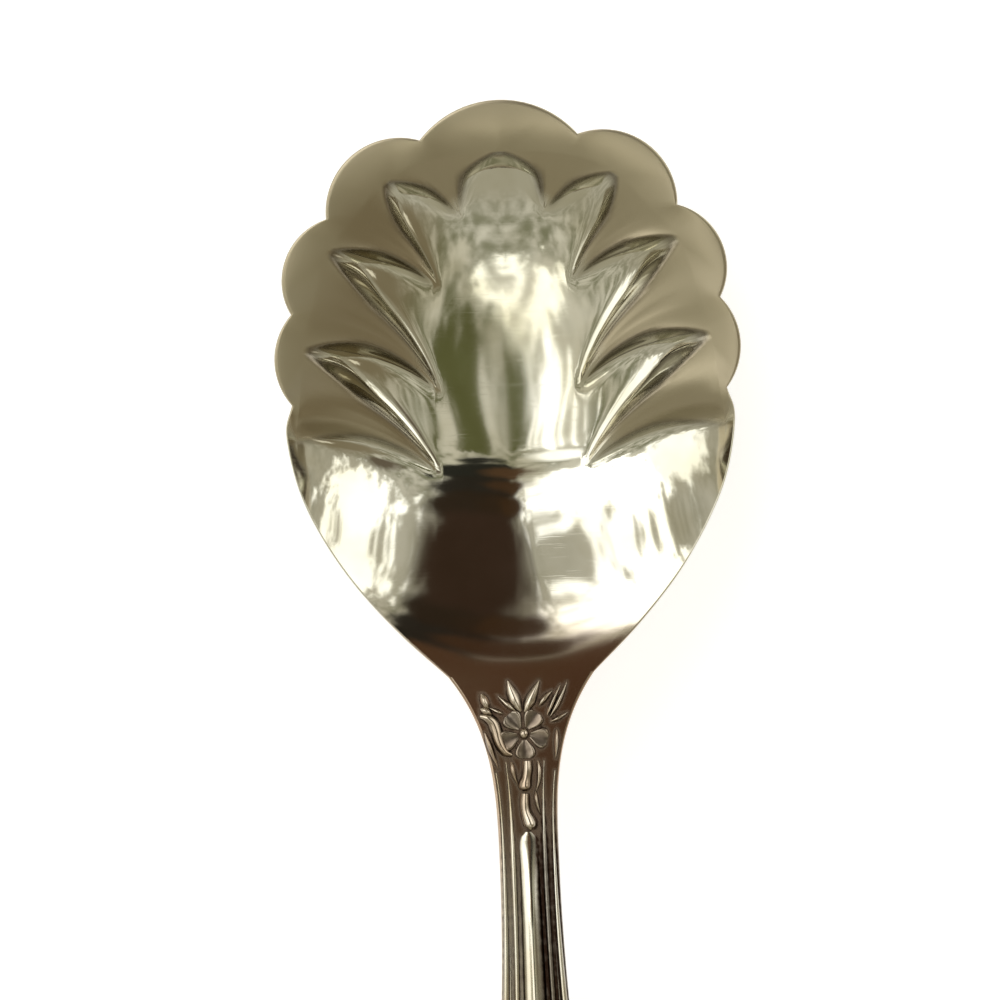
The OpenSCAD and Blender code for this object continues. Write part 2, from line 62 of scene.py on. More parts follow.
def span(node, axis):
    low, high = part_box(node)
    return (high[axis] - low[axis]) / MM


seam_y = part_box("bowl")[0][1] / MM
bowl_len = span("bowl", 1)
bowl_half = span("bowl", 0) / 2
neck_half = span("neck", 0) / 2
grip_half = span("handle_end", 0) / 2
handle_len = seam_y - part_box("handle_end")[0][1] / MM
panel_len = span("neck", 1)
stem_end = panel_len + span("stem", 1)
neck_t, stem_t, grip_t = 2.2, 2.8, 1.7
neck_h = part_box("neck")[0][2] / MM + neck_t
panel_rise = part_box("neck")[1][2] / MM - neck_h
arch_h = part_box("stem")[1][2] / MM
tip_rim_h = 8.2
sheet_t = 1.3
wear_depth = 0.15
floor_h = sheet_t - wear_depth
flange_rise = 1.1
crest_h = 0.25
edge_r = 0.16
flute_end_depth = 0.28
heel_len = 14
sweep_len = 22
stem_half = 2.65
stem_pos = 17
arch_pos = 46
end_len = 12.5
wide_pos = handle_len - end_len
panel_slope = panel_rise / panel_len
print("bowl", round(bowl_len, 2), "x", round(2 * bowl_half, 2), "neck height", round(neck_h, 2))

# %% [markdown]
# A few lines of arithmetic carry all the outlines: a straight mix, an ease in
# and out, and a smooth curve through given keys.


# %% Small arithmetic
def mix(a, b, t):
    return a + (b - a) * t


def limit(t):
    return min(1.0, max(0.0, t))


def ease(t):
    c = limit(t)
    return c * c * (3 - 2 * c)


def hermite(a, b, slope_a, slope_b, t):
    t2, t3 = t * t, t * t * t
    return (a * (2 * t3 - 3 * t2 + 1) + b * (3 * t2 - 2 * t3)
            + slope_a * (t3 - 2 * t2 + t) + slope_b * (t3 - t2))


def key_slope(keys, i):
    a, b = keys[max(0, i - 1)], keys[min(len(keys) - 1, i + 1)]
    return (b[1] - a[1]) / (b[0] - a[0])


def curve(keys, place):
    i = 0
    while i < len(keys) - 2 and keys[i + 1][0] <= place:
        i += 1
    wide = keys[i + 1][0] - keys[i][0]
    return hermite(keys[i][1], keys[i + 1][1], key_slope(keys, i) * wide,
                   key_slope(keys, i + 1) * wide, (place - keys[i][0]) / wide)


def spread(a, b, n):
    return [mix(a, b, i / n) for i in range(n)]


# %% [markdown]
# The bowl is drawn on lines that fan out from its axis to its rim. Place 0 is
# the tip, 0.5 to 3.5 are the notches between the lobes, at 4 the flutes have
# ended, and 6 is the face where the neck starts. Points are shares of half the
# width and of the length.

# %% Outline of the bowl
LAST_NOTCH = 3.5
FLUTES_END = 4
NECK_LINE = 6
notch_share = [(0.339, 0.935), (0.754, 0.804), (0.921, 0.64), (0.933, 0.4825)]
lobe_bulge_share = [0, 0.263, 0.24, 0.189]
flank_share = [
    (LAST_NOTCH, notch_share[3]), (3.9, (0.964, 0.43)), (4.3, (0.921, 0.335)), (4.7, (0.83, 0.25)),
    (5.1, (0.69, 0.161)), (5.5, (0.508, 0.0755)), (6, (neck_half / bowl_half, 0)),
]
axis_share = [
    (-0.5, 0.658), (0, 0.67), (0.5, 0.658), (1.5, 0.598), (2.5, 0.416), (3.5, 0.276), (6, 0),
]
ridge_tip_share = [
    (-0.5, (-0.184, 0.812)), (0, (0, 0.827)), (0.5, (0.184, 0.812)), (1.5, (0.294, 0.69)),
    (2.5, (0.308, 0.504)), (3.5, (0.327, 0.361)), (4.4, (0.33, 0.25)), (5.2, (0.27, 0.11)),
    (6, (0.16, 0)),
]
flute_end_share = [
    (-0.5, (-0.3, 0.899)), (0, (0, 0.911)), (0.5, (0.3, 0.899)), (1, (0.492, 0.864)),
    (1.5, (0.645, 0.798)), (2, (0.749, 0.746)), (2.5, (0.828, 0.648)), (3, (0.869, 0.575)),
    (3.5, (0.899, 0.478)), (4, (0.918, 0.412)), (4.3, (0.882, 0.34)), (4.7, (0.794, 0.258)),
    (5.1, (0.657, 0.171)), (5.5, (0.478, 0.087)), (6, (0.87 * neck_half / bowl_half, 0)),
]
bend_share = [(0, 0), (0.5, 0.03), (1.5, 0.08), (2.5, 0.11), (3.5, 0.1), (4.5, 0.04), (6, 0)]


def in_bowl(share):
    return Vector((share[0] * bowl_half, share[1] * bowl_len))


def placed(table):
    return [(place, in_bowl(share)) for place, share in table]


flank, ridge_tips, flute_ends = map(placed, (flank_share, ridge_tip_share, flute_end_share))
notches = [in_bowl(share) for share in notch_share]


def arc_point(a, b, bulge, t):
    chord = (b - a).length
    along = (b - a) / chord
    out = Vector((-along.y, along.x))
    radius = (chord * chord / 4 + bulge * bulge) / (2 * bulge)
    angle = mix(-1, 1, t) * math.asin(chord / 2 / radius)
    return (a + b) / 2 + along * radius * math.sin(angle) + out * (
        radius * math.cos(angle) - radius + bulge)


def rim_point(place):
    lobe = math.floor(place + 0.5)
    if place >= LAST_NOTCH:
        return curve(flank, place)
    if lobe == 0:
        left = Vector((-notches[0].x, notches[0].y))
        return arc_point(left, notches[0], bowl_len - notches[0].y, place + 0.5)
    a, b = notches[lobe - 1], notches[lobe]
    return arc_point(a, b, lobe_bulge_share[lobe] * (b - a).length, place + 0.5 - lobe)


def ray_point(place, t):
    a, b = curve(ridge_tips, place), curve(flute_ends, place)
    bend = 4 * t * (1 - t) * curve(bend_share, place)
    return mix(a, b, t) + Vector((a.y - b.y, b.x - a.x)) * bend


def widest_of_rim():
    return max(rim_point(i / 100).x for i in range(100 * FLUTES_END))


bowl_half *= bowl_half / widest_of_rim()
flank, ridge_tips, flute_ends = map(placed, (flank_share, ridge_tip_share, flute_end_share))
notches = [in_bowl(share) for share in notch_share]
print("widest place of the rim, mm:", round(widest_of_rim(), 3))

# %% [markdown]
# The smooth blank under the flutes is an oval hollow about its deepest place.
# Towards the neck its floor climbs as a ramp of its own. The die's flutes are
# added to this blank later, by Geometry Nodes.

# %% The smooth hollow
hollow_place_share = 0.39
hollow_reach_share = [
    (0, 1.04), (20, 1.065), (40, 1.04), (60, 0.97), (80, 0.92), (90, 0.93), (110, 0.855),
    (125, 0.81), (145, 0.8), (158, 0.84), (170, 0.94), (180, 0.97),
]
hollow_flat_share = [(0, 0.75), (50, 0.65), (90, 0.5), (180, 0.5)]
hollow_steepness = 5
flange_start_share, flange_full_share = 0.3, 0.8


def rim_h(v):
    return hermite(neck_h, tip_rim_h, -panel_slope * sweep_len, 0, limit(v / sweep_len))


def hollow_edge_h(v):
    on_way = (v / bowl_len - flange_start_share) / (flange_full_share - flange_start_share)
    return rim_h(v) - flange_rise * ease(on_way)


def hollow_h(p):
    across, along = p.x / bowl_half, (p.y / bowl_len - hollow_place_share) * 2
    angle = math.degrees(math.atan2(abs(across), along))
    r = math.hypot(across, along) / curve(hollow_reach_share, angle)
    wall = mix(r * r, r ** hollow_steepness, curve(hollow_flat_share, angle))
    climb = ease(-along / 2 / hollow_place_share)
    return mix(floor_h, hollow_edge_h(p.y), mix(wall, 1, climb))


# %% [markdown]
# A line keeps its place between the middle of a lobe and the crest of the
# ridge beside it, so the mesh's own edges run along the edges of the flutes.
# That keeps the creases crisp without a very fine mesh. Row 0 is the axis, 1 the
# ridge's tip, 2 the flute's end and 3 the rim.

# %% Lines of the bowl
flute_inner_share = 0.96
flute_outer_share = 0.18
flute_edge_share = 0.7
plain_start = 3.3
under_share = [(0, 1), (0.34, 0.97), (0.64, 0.86), (0.85, 0.66), (0.965, 0.42), (1.2, 0.3)]


def off_middle(place):
    return 0 if place > FLUTES_END else abs(place - round(place)) * 2


def side_at(off, t):
    half = math.sqrt(mix(flute_inner_share ** 2, flute_outer_share ** 2, t))
    if off < flute_edge_share:
        return off / flute_edge_share * half
    return mix(half, 1, (off - flute_edge_share) / (1 - flute_edge_share))


def place_at(place, row):
    if place > FLUTES_END:
        return place
    off = off_middle(place)
    if row < 1:
        side = mix(off, side_at(off, 0), row)
    elif row < 2:
        side = side_at(off, row - 1)
    else:
        side = mix(side_at(off, 1), off, row - 2)
    return round(place) + math.copysign(side / 2, place - round(place))


def gauge(p, rim):
    """How many sheet thicknesses the metal has at a point of the bowl."""
    across = limit(p.x / rim.x) if rim.x else 0
    heel = neck_t * curve(under_share, across) / sheet_t
    return mix(1, heel, ease(1 - p.y / heel_len))


def plain_share(place):
    """Past the last notch the bowl's wall goes over from fluted to plain."""
    return ease((place - plain_start) / (FLUTES_END - plain_start))


def flange_of(place):
    """Ridge and flange on a line: height at the ridge's tip and at the rim, and how it levels."""
    tip, end, rim = curve(ridge_tips, place), curve(flute_ends, place), rim_point(place)
    end_share = (end - tip).length / ((end - tip).length + (rim - end).length)
    low, high, power = hollow_h(tip), rim_h(rim.y), 2
    if place < FLUTES_END:
        end_h = hollow_h(end) + flute_end_depth * (1 - plain_share(place))
        power = math.log((high - end_h) / (high - low)) / math.log(1 - end_share)
    return low, high, power, end_share


def bowl_point(column, row):
    """Where a point of the blank lies, and what the flute press does there."""
    place = place_at(column, row)
    rim, end = rim_point(place), curve(flute_ends, place)
    low, high, power, end_share = flange_of(place)
    edge = rim - (rim - end).normalized() * edge_r
    t = row - min(2, math.floor(row))
    if row < 1:
        p = mix(Vector((0, curve(axis_share, place) * bowl_len)), curve(ridge_tips, place), row)
        return p, hollow_h(p), 0, 0, rim
    p = ray_point(place, t) if row < 2 else mix(end, edge, t)
    along = t * end_share if row < 2 else mix(end_share, 1, t)
    plain = plain_share(place)
    blank_h = hollow_h(p) + plain * (high - hollow_h(rim)) * along ** 3
    flange_h = mix(high - (high - low) * (1 - along) ** power, blank_h, plain)
    if row < 2:
        return p, blank_h, flange_h - blank_h, math.sqrt(t), rim
    return p, flange_h, 0, 1 - t, rim


# %% [markdown]
# The blank's mesh is closed: each line goes up the inside, round the rim and
# back underneath. Its points carry attributes, for the press and the material.

# %% Mesh of the blank
ROWS_UP = spread(0, 1, 12) + spread(1, 2, 34) + spread(2, 3, 14) + [3]
ROWS_DOWN = spread(0, 1, 6) + spread(1, 2, 20) + spread(2, 3, 7) + [3]
EDGE_STEPS = 8
FLANK_STEPS = 34
offs = [0, 0.1, 0.2, 0.3, 0.39, 0.47, 0.54, 0.6, 0.65, 0.7, 0.76, 0.82, 0.88, 0.94]
half_lobe = [off / 2 for off in offs]
columns = []
for lobe in range(4):
    columns += [lobe + off for off in half_lobe]
    columns += [lobe + 1 - off for off in [0.5] + half_lobe[:0:-1]]
columns += spread(FLUTES_END, NECK_LINE, FLANK_STEPS) + [NECK_LINE]
# How the satin flange, with its painted tan reflection, fades out past the last notch
satin_and_reflection_fade = 0.6
flute_shut_share = 0.5
# A darker band along the flute's corner: where it lies, how wide, from where, how dark
corner_edge, corner_wide, corner_start, corner_dark_share = 0.96, 0.24, 0.35, 0.65
# Where the satin flange, with its painted tan reflection, runs into a flute
satin_and_reflection_edge, satin_and_reflection_wide, satin_and_reflection_start = 0.9, 0.2, 1 / 3
tone_start, tone_len, panel_tone_end, stem_tone = -9, 12, 9, 0.45


def finish_at(column, row):
    """Share of the satin flange with its painted tan reflection, a darker band in the flute's
    corner, the flute's mouth and its end.
    """
    off, t = off_middle(column), row - 1
    calm = 1 - ease((column - LAST_NOTCH) / satin_and_reflection_fade)
    if row < 1:
        return 0, 0, 1, 0
    if row >= 2:
        return calm, 0, 0, 1
    shut = limit((t - flute_shut_share) / (1 - flute_shut_share))
    edge = math.hypot(off / flute_edge_share, shut)
    # A darker band along the flute's corner
    corner = ease(1 - abs(edge - corner_edge) / corner_wide) * ease(t / corner_start)
    # The satin flange's share, which also carries its painted tan reflection
    satin_and_reflection = ease((edge - satin_and_reflection_edge) / satin_and_reflection_wide) * ease(t / satin_and_reflection_start)
    return calm * satin_and_reflection, corner_dark_share * calm * corner, (1 - t) ** 2, shut


def tone_at(d):
    """How far the brown tone of the ground has set in, at distance d from the neck face."""
    set_in = ease((d - tone_start) / tone_len)
    return set_in * mix(1, stem_tone, ease((d - panel_tone_end) / tone_len))


def bowl_line(column):
    """One closed line of the shell: up the inside, round the rim and back."""
    line = []
    for row in ROWS_UP:
        p, h, lift, fade, rim = bowl_point(column, row)
        line.append((p, h, lift, fade, 0, *finish_at(column, row)))
    edge, edge_h = p, h
    out = (rim - edge).normalized()
    thick = gauge(edge, rim)
    for i in range(1, EDGE_STEPS):
        turn = math.pi * i / EDGE_STEPS
        line.append((edge + out * edge_r * math.sin(turn), edge_h, 0, 0,
                     thick * (1 - math.cos(turn)) / 2, finish_at(column, 3)[0], 0, 0, 0))
    for row in reversed(ROWS_DOWN):
        p, h, lift, fade, rim = bowl_point(column, row)
        line.append((p, h, lift, fade, gauge(p, rim), 0, 0, *finish_at(column, row)[2:]))
    return line


def blank_of_bowl():
    """The blank as a mesh, with the press's instructions as attributes."""
    lines = [bowl_line(column) for column in columns]
    points, values, faces = [], [], []
    for side in (1, -1):
        start = len(points)
        for column, line in zip(columns, lines):
            for p, h, lift, fade, depth, *finish in line:
                points.append((side * p.x * MM, (seam_y + p.y) * MM, h * MM))
                values.append((off_middle(column), lift * MM, fade, depth, *finish,
                               tone_at(-p.y)))
        n = len(lines[0])
        for j in range(len(lines) - 1):
            for k in range(n - 1):
                a = start + j * n + k
                loop = [a, a + 1, a + n + 1, a + n]
                faces.append(loop if side > 0 else loop[::-1])
        last = start + (len(lines) - 1) * n
        cap = list(range(last, last + n))
        faces.append(cap if side > 0 else cap[::-1])
    mesh = bpy.data.meshes.new("blank")
    mesh.from_pydata(points, [], faces)
    names = ("off", "lift", "fade", "depth", "flange", "sunk", "mouth", "shut", "toned")
    for name, column_of in zip(names, zip(*values)):
        store(mesh, name, column_of)
    return mesh


def merged(mesh, gap=1e-7):
    """Joins points that lie on each other, and keeps the edges of the end faces sharp."""
    work = bmesh.new()
    work.from_mesh(mesh)
    bmesh.ops.remove_doubles(work, verts=work.verts, dist=gap)
    for edge in {edge for face in work.faces if len(face.verts) > 4 for edge in face.edges}:
        edge.smooth = False
    work.to_mesh(mesh)
    work.free()
    return mesh


# %% [markdown]
# Materials and node trees are both built from nodes, so one small function adds
# a node, sets it up and links its inputs. Colours are written as sRGB hex
# values and made linear in one place.


# %% Helpers for nodes, colours and pieces
def linear(code):
    parts = [int(code[i:i + 2], 16) / 255 for i in (1, 3, 5)]
    return [c / 12.92 if c <= 0.04045 else ((c + 0.055) / 1.055) ** 2.4 for c in parts] + [1]


def socket(sockets, key):
    """A socket by its number or name. A node keeps hidden twins of a name for other types."""
    if isinstance(key, int):
        return sockets[key]
    return next(s for s in sockets if s.name == key and s.enabled)


def add(tree, kind, inputs=None, give=0, **settings):
    """Adds a node, sets its properties and inputs, and gives one output, or all for None."""
    node = tree.nodes.new(kind)
    for name, value in settings.items():
        setattr(node, name, value)
    for key, value in (inputs or {}).items():
        if isinstance(value, bpy.types.NodeSocket):
            tree.links.new(value, socket(node.inputs, key))
        else:
            socket(node.inputs, key).default_value = value
    return node.outputs if give is None else socket(node.outputs, give)


def blend(tree, factor, a, b):
    return add(tree, "ShaderNodeMix", {"Factor": factor, "A": a, "B": b}, "Result",
               data_type="RGBA")


def math_node(tree, operation, *values, clamp=False):
    return add(tree, "ShaderNodeMath", dict(enumerate(values)), operation=operation,
               use_clamp=clamp)


def moved(tree, geometry, position):
    return add(tree, "GeometryNodeSetPosition", {"Geometry": geometry, "Position": position})


def emptied(owner):
    """The node tree of a material or world, without the nodes it starts with."""
    owner.use_nodes = True
    owner.node_tree.nodes.clear()
    return owner.node_tree


def in_scene(name, data):
    item = bpy.data.objects.new(name, data)
    bpy.context.collection.objects.link(item)
    return item


def store(mesh, name, values):
    mesh.attributes.new(name, "FLOAT", "POINT").data.foreach_set("value", values)


def new_tree(name, sizes):
    """A Geometry Nodes tree with one named input for each size."""
    tree = bpy.data.node_groups.new(name, "GeometryNodeTree")
    tree.interface.new_socket("Geometry", in_out="INPUT", socket_type="NodeSocketGeometry")
    for label, (kind, value) in sizes.items():
        item = tree.interface.new_socket(label, in_out="INPUT", socket_type="NodeSocket" + kind)
        if value is not None:
            item.default_value = value
    tree.interface.new_socket("Geometry", in_out="OUTPUT", socket_type="NodeSocketGeometry")
    return tree, tree.nodes.new("NodeGroupInput").outputs


def named(tree, name, kind="FLOAT"):
    return add(tree, "GeometryNodeInputNamedAttribute", {"Name": name}, "Attribute",
               data_type=kind)


def close_tree(tree, geometry, material):
    """The usual end: real mesh, smooth shading, and the piece's material."""
    smooth = add(tree, "GeometryNodeSetShadeSmooth", {"Geometry": geometry})
    real = add(tree, "GeometryNodeRealizeInstances", {"Geometry": smooth})
    done = add(tree, "GeometryNodeSetMaterial", {"Geometry": real, "Material": material})
    tree.links.new(done, tree.nodes.new("NodeGroupOutput").inputs[0])


def made_by(tree, mesh, name, values=None):
    """Runs a tree on a mesh and keeps the result as a plain object."""
    source = in_scene(name + "_source", mesh)
    modifier = source.modifiers.new("Shape", "NODES")
    modifier.node_group = tree
    sockets = {s.name: s.identifier for s in tree.interface.items_tree if s.in_out == "INPUT"}
    for label, value in (values or {}).items():
        modifier[sockets[label]] = value
    graph = bpy.context.evaluated_depsgraph_get()
    result = bpy.data.meshes.new_from_object(source.evaluated_get(graph))
    bpy.data.objects.remove(source)
    piece = in_scene(name, result)
    print(name, len(result.polygons), "faces")
    return piece


# %% [markdown]
# Silver plate over nickel silver: a soft warm white metal. Years of washing
# leave hairline scratches a few hundredths of a millimetre wide in every
# direction, and a thin yellow tarnish film that is uneven from place to place.
# Scratches that fine would not show, so they are drawn a little wider. Three
# attributes guide the finish. 'flange' is how far the bowl's flat rim is rubbed
# to a satin, where its colour is also a darker tan that is a painted reflection;
# 'toned' is how far the handle's brown tone has set in; and the third is how dark
# a place is: patina by the feet of the handle's relief, a darker band in the
# bowl's flute corners, and painted shade down the right side of the stem.

# %% Silver plate
# The flange's tan colour is a painted reflection of a tan surface round the spoon
flange_tan_reflection_colour, tone_colour = "#B1A68E", "#B0917A"
cloud_mm, grain_mm = 9, 0.5
scratch_depth_mm = 0.0012
tone_dulls, patina_dulls, flange_dulls = 0.05, 0.25, 0.28
scratch_sets = [(33, 0.12, 3.1), (97, 0.15, 7.7), (151, 0.13, 1.9)]


def scratch_height(tree, place, turn, spacing_mm, seed):
    """Long thin scratches that run one way: noise squeezed along its lines."""
    stretch = 0.03
    scale = 1 / (spacing_mm * MM)
    turned = add(tree, "ShaderNodeMapping", {
        "Vector": place, "Rotation": (0, 0, math.radians(turn)), "Location": (seed, seed, 0),
        "Scale": (scale * stretch, scale, scale * stretch)})
    noise = add(tree, "ShaderNodeTexNoise", {
        "Vector": turned, "Scale": 1, "Detail": 1.5, "Roughness": 0.6})
    return add(tree, "ShaderNodeMapRange", {
        "Value": noise, "From Min": 0.64, "From Max": 0.74})


def silver_plate(name, bright, film, dark, roughness):
    """Clean and filmed plate, its satin flange with a painted tan reflection, its brown tone, its
    dark corners and painted shade.
    """
    material = bpy.data.materials.new(name)
    tree = emptied(material)
    set_in, flange, sunk = (add(tree, "ShaderNodeAttribute", give="Fac", attribute_name=guide)
                            for guide in ("toned", "flange", "sunk"))
    place = add(tree, "ShaderNodeTexCoord", give="Object")
    cloud = add(tree, "ShaderNodeTexNoise", {
        "Vector": place, "Scale": 1 / (cloud_mm * MM), "Detail": 3, "Roughness": 0.55})
    film_here = add(tree, "ShaderNodeMapRange", {"Value": cloud, "From Min": 0.4, "From Max": 0.66})
    clean = blend(tree, film_here, linear(bright), linear(film))
    uneven = add(tree, "ShaderNodeMapRange", {
        "Value": cloud, "From Min": 0.35, "From Max": 0.65, "To Min": 1, "To Max": 0.65})
    toned = math_node(tree, "MULTIPLY", set_in, uneven)
    # The satin flange's tan colour is a painted reflection
    rubbed = blend(tree, flange, clean, linear(flange_tan_reflection_colour))
    base = blend(tree, toned, rubbed, linear(tone_colour))
    grain = add(tree, "ShaderNodeTexNoise", {
        "Vector": place, "Scale": 1 / (grain_mm * MM), "Detail": 2})
    wander = math_node(tree, "MULTIPLY_ADD", grain, 0.5, -0.25)
    # Dark patina by the relief, darker bands in the bowl's flutes, and painted shade down the
    # stem's right side
    patina_and_shade_amount = math_node(tree, "MULTIPLY", sunk, math_node(tree, "ADD", wander, 1), clamp=True)
    colour = blend(tree, patina_and_shade_amount, base, linear(dark))
    shine = add(tree, "ShaderNodeMapRange", {
        "Value": cloud, "To Min": roughness * 0.8, "To Max": roughness * 1.25})
    dull = shine
    for share, dulls in ((flange, flange_dulls), (patina_and_shade_amount, patina_dulls), (toned, tone_dulls)):
        dull = math_node(tree, "MULTIPLY_ADD", share, dulls, dull)
    scratches = [scratch_height(tree, place, *scratch_set) for scratch_set in scratch_sets]
    height = math_node(tree, "ADD", math_node(tree, "ADD", *scratches[:2]), scratches[2])
    bump = add(tree, "ShaderNodeBump", {
        "Height": height, "Distance": scratch_depth_mm * MM, "Strength": 0.3})
    shader = add(tree, "ShaderNodeBsdfPrincipled", {
        "Base Color": colour, "Metallic": 1, "Roughness": dull, "Normal": bump})
    add(tree, "ShaderNodeOutputMaterial", {"Surface": shader}, None)
    return material


# Bowl: mirror polish with a thin film of tarnish, and a flange that is rubbed to a satin, its tan
# colour a painted reflection
bowl_plate = silver_plate(
    "polished silver plate", "#DDDACE", "#C9C4B0", "#4A392A", 0.06)
# Ground of the handle: the same plate, toned brown, with near-black corners, and painted shade down
# the stem's right side
ground_plate = silver_plate(
    "tarnished silver plate", "#DDDACE", "#C9C4B0", "#33241B", 0.06)
# Sprays: plate that is worn warm and dull, dark between the petals and leaves
relief_plate = silver_plate(
    "half-rubbed silver relief", "#D2C7B7", "#AC9882", "#2B1D16", 0.14)
# Rib, fillets, lines and border: plate that hands keep bright; the rib, fillets and lines also take
# painted shade down the stem's right side
bead_plate = silver_plate(
    "rubbed silver beads", "#E6E1D3", "#D0C2A6", "#33241C", 0.1)

# %% [markdown]
# The press lifts each point of the blank to the bridge between two flutes,
# except in the rounded scoop of the flute itself. It raises the rounded crest
# on each ridge, and gives the sheet its thickness. Near its mouth a flute is
# flat and runs into the hollow without a line. Towards the rim it is round and
# ends in an arch. The flat that wear has ground under the bowl is where the
# height is cut off at the table.

# %% The flute press
press, size = new_tree("flute press", {
    "Crest height": ("Float", crest_h * MM), "Sheet thickness": ("Float", sheet_t * MM),
    "Flute edge": ("Float", flute_edge_share), "Scoop roundness": ("Float", 0.8),
    "Mouth flatness": ("Float", 3.0),
})
off = named(press, "off")
inside = math_node(press, "DIVIDE", off, size["Flute edge"], clamp=True)
shut = named(press, "shut")
closed = math_node(
    press, "MULTIPLY_ADD", inside, inside, math_node(press, "MULTIPLY", shut, shut))
open_share = math_node(press, "SUBTRACT", 1, closed, clamp=True)
scoop = math_node(press, "POWER", open_share, size["Scoop roundness"])
flat_mouth = math_node(press, "MULTIPLY_ADD", named(press, "mouth"), size["Mouth flatness"], 1)
side_share = math_node(press, "POWER", math_node(press, "SUBTRACT", 1, scoop), flat_mouth)
lifted = math_node(press, "MULTIPLY", named(press, "lift"), side_share)
beyond = math_node(press, "SUBTRACT", off, size["Flute edge"])
ridge = add(press, "ShaderNodeMapRange", {
    "Value": beyond, "From Max": math_node(press, "SUBTRACT", 1, size["Flute edge"])},
    interpolation_type="SMOOTHSTEP")
crest = math_node(press, "MULTIPLY", math_node(press, "MULTIPLY", ridge, named(press, "fade")),
                  size["Crest height"])
depth = math_node(press, "MULTIPLY", named(press, "depth"), size["Sheet thickness"])
place = add(press, "GeometryNodeInputPosition")
parts = add(press, "ShaderNodeSeparateXYZ", {0: place}, None)
raised = math_node(press, "ADD", math_node(press, "ADD", parts[2], lifted), crest)
height = math_node(press, "MAXIMUM", math_node(press, "SUBTRACT", raised, depth), 0)
target = add(press, "ShaderNodeCombineXYZ", {0: parts[0], 1: parts[1], 2: height})
close_tree(press, moved(press, size["Geometry"], target), bowl_plate)
bowl = made_by(press, blank_of_bowl(), "bowl_shell")
merged(bowl.data)
print("bowl after merging:", len(bowl.data.vertices), "points")

# %% [markdown]
# The handle is one long forging. Its cross-section is a flat face with rounded
# edges and a full, rounded back. Width, height and thickness each follow their
# own smooth curve along it.

# %% Handle
waist_steepness = 3.3
end_slope = -0.2
edge_width_share = 0.4
FACE_STEPS = 30
BACK_STEPS = 20


def half_width(d):
    if d > wide_pos:
        return grip_half * math.sqrt(max(0, 1 - ((d - wide_pos) / end_len) ** 2))
    waist = limit(1 - d / stem_pos) ** waist_steepness
    return (stem_half + (neck_half - stem_half) * waist
            + (grip_half - stem_half) * ease((d - stem_pos) / (wide_pos - stem_pos)))


def face_h(d):
    rise, fall = arch_pos - panel_len, handle_len - arch_pos
    if d <= panel_len:
        return neck_h + panel_slope * d
    if d <= arch_pos:
        return hermite(neck_h + panel_rise, arch_h, panel_slope * rise, 0, (d - panel_len) / rise)
    return hermite(arch_h, grip_t, 0, end_slope * fall, (d - arch_pos) / fall)


def thickness(d):
    if d < stem_pos:
        return mix(neck_t, stem_t, ease(d / stem_pos))
    return mix(stem_t, grip_t, ease((d - stem_pos) / (wide_pos - stem_pos)))


def handle_section(d):
    """Half of the outline at one place: the face outwards, the edge, the back."""
    w, t, h = half_width(d), thickness(d), face_h(d)
    r = min(edge_r, edge_width_share * w)
    line = [((w - r) * i / FACE_STEPS, 0) for i in range(FACE_STEPS + 1)]
    side = t * curve(under_share, (w - r) / w) if w > 0 else t
    for i in range(1, EDGE_STEPS):
        turn = math.pi * i / EDGE_STEPS
        line.append((w - r + r * math.sin(turn), -side * (1 - math.cos(turn)) / 2))
    for i in range(BACK_STEPS, -1, -1):
        x = (w - r) * i / BACK_STEPS
        line.append((x, -t * curve(under_share, x / w)))
    return [(x, -d, h + z) for x, z in line]


def loft(name, sections, material):
    """Skin over sections that are given for the right half, mirrored to the left."""
    n = 2 * len(sections[0]) - 2
    points, faces = [], []
    for half in sections:
        ring = half + [(-x, y, z) for x, y, z in half[-2:0:-1]]
        points += [(x * MM, (seam_y + y) * MM, z * MM) for x, y, z in ring]
    for i in range(len(sections) - 1):
        for j in range(n):
            a, b = i * n + j, i * n + (j + 1) % n
            faces.append([a, b, b + n, a + n])
    faces.append(list(range(n))[::-1])
    faces.append([(len(sections) - 1) * n + j for j in range(n)])
    mesh = bpy.data.meshes.new(name)
    mesh.from_pydata(points, [], faces)
    merged(mesh)
    mesh.shade_smooth()
    mesh.materials.append(material)
    return in_scene(name, mesh)


def forging(name, places):
    return loft(name, [handle_section(d) for d in places], ground_plate)


# The rounded tip closes just before its very end, so its last section keeps a width
END_STEPS, end_reach_share = 24, 0.995
end_places = [wide_pos + end_len * math.sin(math.pi / 2 * i / END_STEPS * end_reach_share)
              for i in range(END_STEPS + 1)]
neck = forging("neck_forging", spread(0, panel_len, 64) + [panel_len])
stem = forging("stem_forging", spread(panel_len, stem_end, 90) + [stem_end])
grip = forging("handle_end_forging", spread(stem_end, wide_pos, 60) + end_places)
print("handle pieces:", [len(p.data.polygons) for p in (neck, stem, grip)])

# %% [markdown]
# All raised work is struck from the same die, so one tree makes it all. It
# takes thin lines drawn flat, with a half width and a height at each point. It
# can repeat a line round a middle, as for the petals.

# %% The relief die: lines and their copies
die, size = new_tree("relief die", {
    "Ground": ("Object", None), "Finish": ("Material", None),
    "Copies": ("Int", 1), "Middle": ("Vector", (0, 0, 0)),
    "Point spacing": ("Float", 0.1 * MM), "Section steps": ("Int", 20),
    "Flat top": ("Float", 2.0), "Foot curve": ("Float", 1.0), "Cupped": ("Float", 0.0),
})
lines = add(die, "GeometryNodeMeshToCurve", {"Mesh": size["Geometry"]})
smooth = add(die, "GeometryNodeCurveSplineType", {"Curve": lines}, spline_type="CATMULL_ROM")
fine = add(die, "GeometryNodeResampleCurve", {"Curve": smooth, "Length": size["Point spacing"]},
           mode="LENGTH")
copies = add(die, "GeometryNodeDuplicateElements", {
    "Geometry": fine, "Amount": size["Copies"]}, None, domain="SPLINE")
step = math_node(die, "DIVIDE", 2 * math.pi, size["Copies"])
